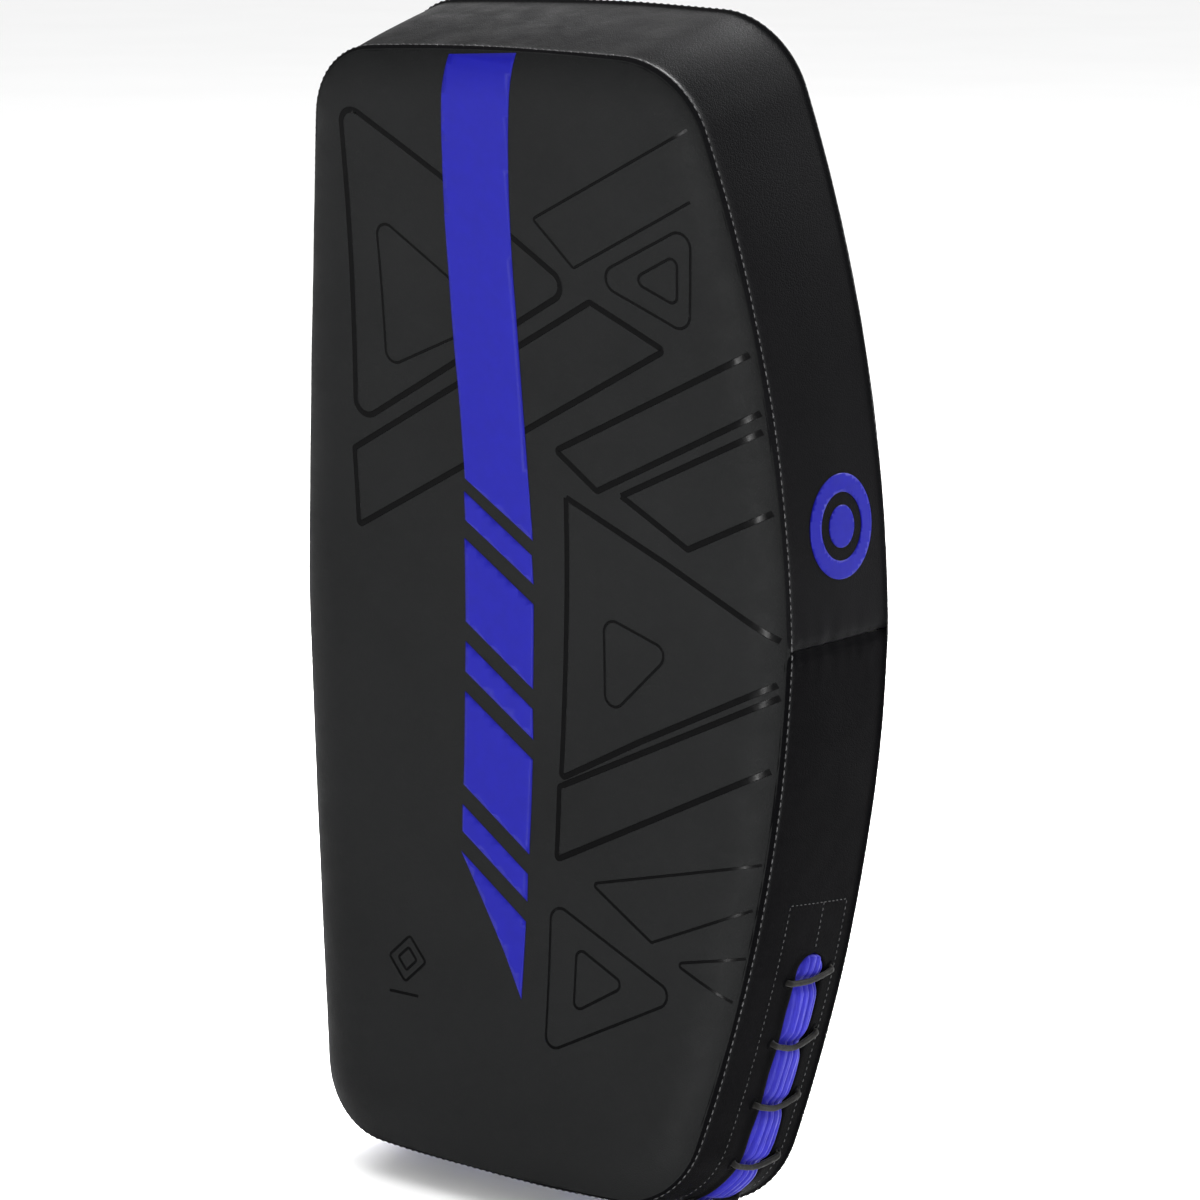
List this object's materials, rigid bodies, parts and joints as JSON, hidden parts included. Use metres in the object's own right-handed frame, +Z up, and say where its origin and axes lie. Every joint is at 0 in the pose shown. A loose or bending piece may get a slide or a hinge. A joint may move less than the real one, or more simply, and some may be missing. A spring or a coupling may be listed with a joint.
{
  "type": "curved kick shield",
  "caption": "Tall curved kick shield with a barrel outline, layered foam core, lace-up base, forearm straps that peel open and a padded hand grip.",
  "frame": {"origin": "middle of the whole shield's bounding box, straps included", "axes": "+Z up along the shield's length, -Y out of the strike face, +Y out of the back where the straps are, +X to the right of someone facing the strike face"},
  "size_m": [0.362, 0.2112, 0.7048],
  "materials": {
    "cover_leather": "matte fine-grained synthetic leather",
    "gusset_leather": "matte fine-grained synthetic leather",
    "strap_leather": "matte synthetic leather with sewn edges",
    "lining_fabric": "woven polyester lining",
    "padding_fabric": "knitted spacer fabric",
    "lace_cord": "braided cord",
    "webbing": "woven nylon webbing",
    "loop_tape": "brushed loop pile",
    "hook_tape": "moulded hooks",
    "soft_foam": "open-cell foam",
    "firm_foam": "closed-cell foam"
  },
  "bodies": {
    "pad": {"front_panel": "cover_leather", "back_panel": "cover_leather", "upper_gusset": "gusset_leather", "lower_gusset": "gusset_leather", "opening_facing": "gusset_leather", "opening_lining": "lining_fabric", "lace": "lace_cord", "face_foam": "soft_foam", "impact_foam": "firm_foam", "core_foam": "firm_foam", "back_foam": "soft_foam", "grip_tab_left": "webbing", "grip_tab_right": "webbing", "grip_patch_left": "strap_leather", "grip_patch_right": "strap_leather", "upper_strap_anchor_patch": "strap_leather", "upper_strap_anchor_tab": "strap_leather", "upper_strap_landing_patch": "strap_leather", "upper_strap_loop_tape": "loop_tape", "lower_strap_anchor_patch": "strap_leather", "lower_strap_anchor_tab": "strap_leather", "lower_strap_landing_patch": "strap_leather", "lower_strap_loop_tape": "loop_tape"},
    "upper_strap": {"upper_strap_flap": "strap_leather", "upper_strap_padding": "padding_fabric", "upper_strap_hook_tape": "hook_tape"},
    "lower_strap": {"lower_strap_flap": "strap_leather", "lower_strap_padding": "padding_fabric", "lower_strap_hook_tape": "hook_tape"},
    "grip": {"grip_webbing": "webbing", "grip_sleeve": "strap_leather"}
  },
  "joints": [
    {"name": "upper_strap_hinge", "type": "hinge", "parent": "pad", "child": "upper_strap", "pos_m": [-0.072, 0.04027, 0.0486], "axis": [0, -0.0343, 0.9994], "range_deg": [0, 90]},
    {"name": "lower_strap_hinge", "type": "hinge", "parent": "pad", "child": "lower_strap", "pos_m": [-0.072, 0.03566, -0.12405], "axis": [0, 0.0875, 0.9962], "range_deg": [0, 90]},
    {"name": "grip_swing", "type": "hinge", "parent": "pad", "child": "grip", "pos_m": [0, 0.02371, 0.20958], "axis": [1, 0, 0], "range_deg": [-35, 35]}
  ]
}
